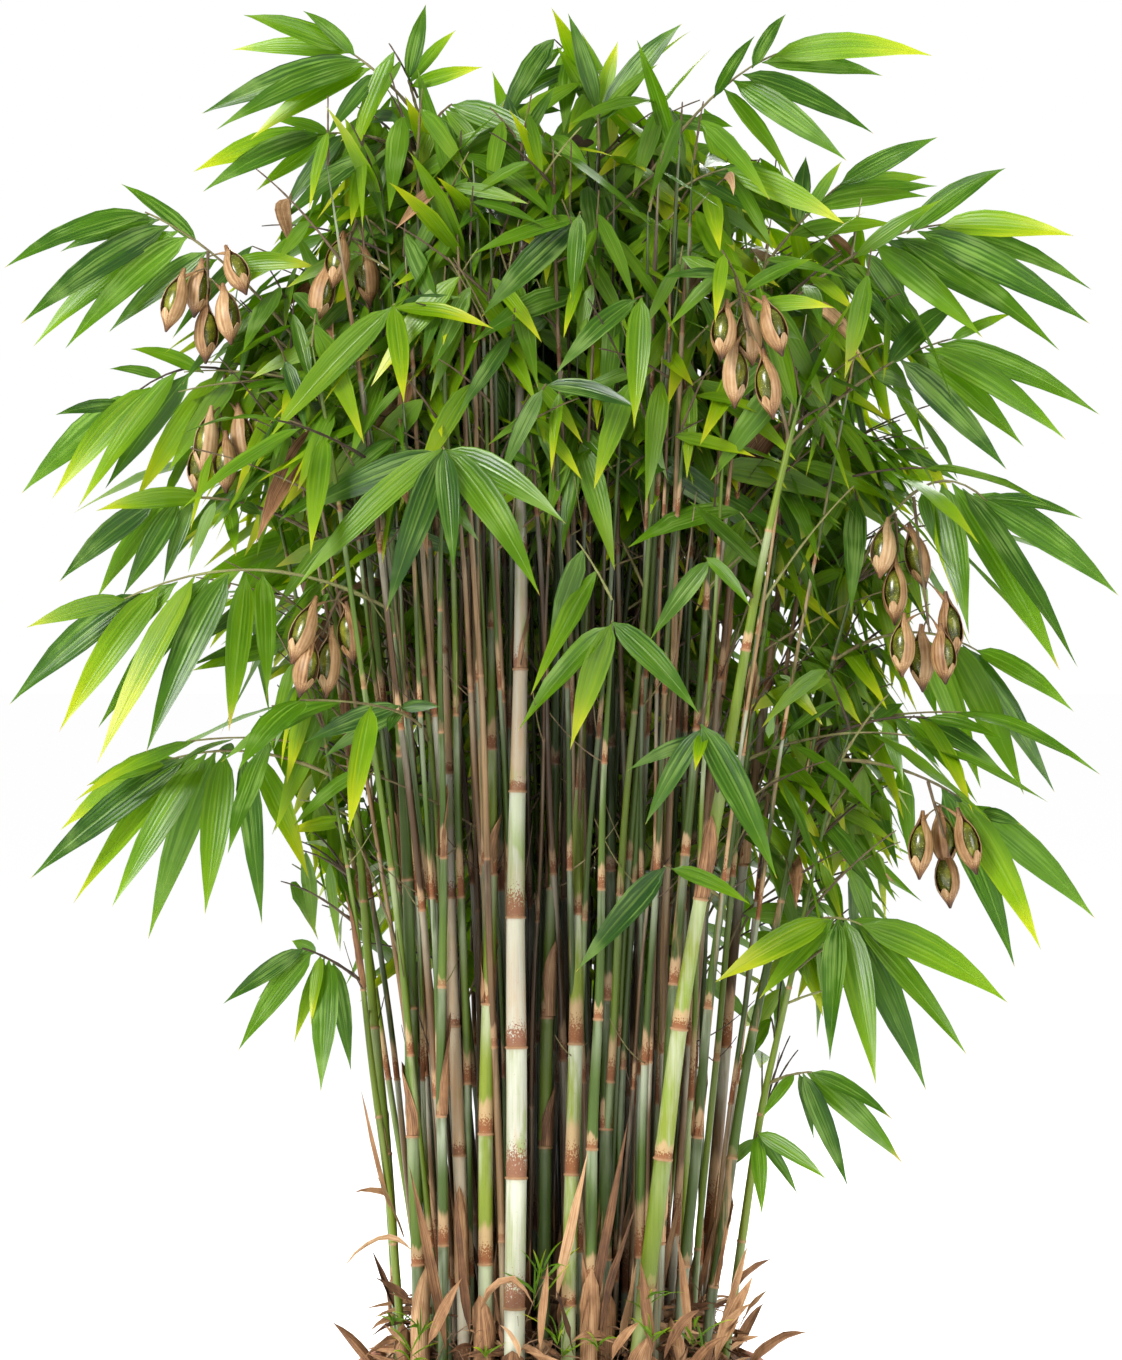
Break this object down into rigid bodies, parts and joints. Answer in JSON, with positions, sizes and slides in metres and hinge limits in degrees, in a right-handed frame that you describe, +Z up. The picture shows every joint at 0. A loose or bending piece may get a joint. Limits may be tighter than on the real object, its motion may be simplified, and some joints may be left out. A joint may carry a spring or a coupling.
{
  "type": "potted reed bamboo",
  "caption": "Tall dense clump of slender ringed bamboo culms in a plain clay pot, arching outwards with long drooping leaves, bunches of beaked fruit and dry litter at the foot.",
  "frame": {"origin": "centre of the pot's flat underside", "axes": "+Z up through the pot and the clump; the clump's fullest face, with the pale waxy culm, looks along -Y, towards a viewer who looks along +Y with +X to the right"},
  "size_m": [1.6578, 1.3659, 2.3831],
  "materials": {
    "terracotta": "matte",
    "soil": "matte",
    "dry_litter": "matte",
    "culm": "satin",
    "foliage": "satin",
    "fruit": "satin"
  },
  "bodies": {
    "root": {"pot": "terracotta", "soil": "soil", "litter_ring": "dry_litter", "leafy_culm_01": "culm", "leafy_culm_02": "foliage", "leafy_culm_03": "foliage", "leafy_culm_04": "foliage", "leafy_culm_05": "foliage", "leafy_culm_06": "foliage", "leafy_culm_07": "foliage", "leafy_culm_08": "foliage", "leafy_culm_09": "foliage", "leafy_culm_10": "foliage", "leafy_culm_11": "foliage", "leafy_culm_12": "foliage", "leafy_culm_13": "foliage", "leafy_culm_14": "foliage", "leafy_culm_15": "foliage", "leafy_culm_16": "foliage", "leafy_culm_17": "foliage", "leafy_culm_18": "foliage", "leafy_culm_19": "foliage", "leafy_culm_20": "foliage", "leafy_culm_21": "foliage", "leafy_culm_22": "foliage", "leafy_culm_23": "foliage", "leafy_culm_24": "foliage", "leafy_culm_25": "foliage", "leafy_culm_26": "foliage", "leafy_culm_27": "foliage", "leafy_culm_28": "foliage", "leafy_culm_29": "foliage", "leafy_culm_30": "foliage", "leafy_culm_31": "foliage", "leafy_culm_32": "foliage", "leafy_culm_33": "foliage", "leafy_culm_34": "foliage", "leafy_culm_35": "foliage", "leafy_culm_36": "foliage", "leafy_culm_37": "foliage", "fruit_bunch_1": "fruit", "fruit_bunch_2": "fruit", "fruit_bunch_3": "fruit", "fruit_bunch_4": "fruit", "fruit_bunch_5": "fruit", "fruit_bunch_6": "fruit", "fruit_bunch_7": "fruit", "fruit_bunch_8": "fruit"}
  },
  "joints": []
}
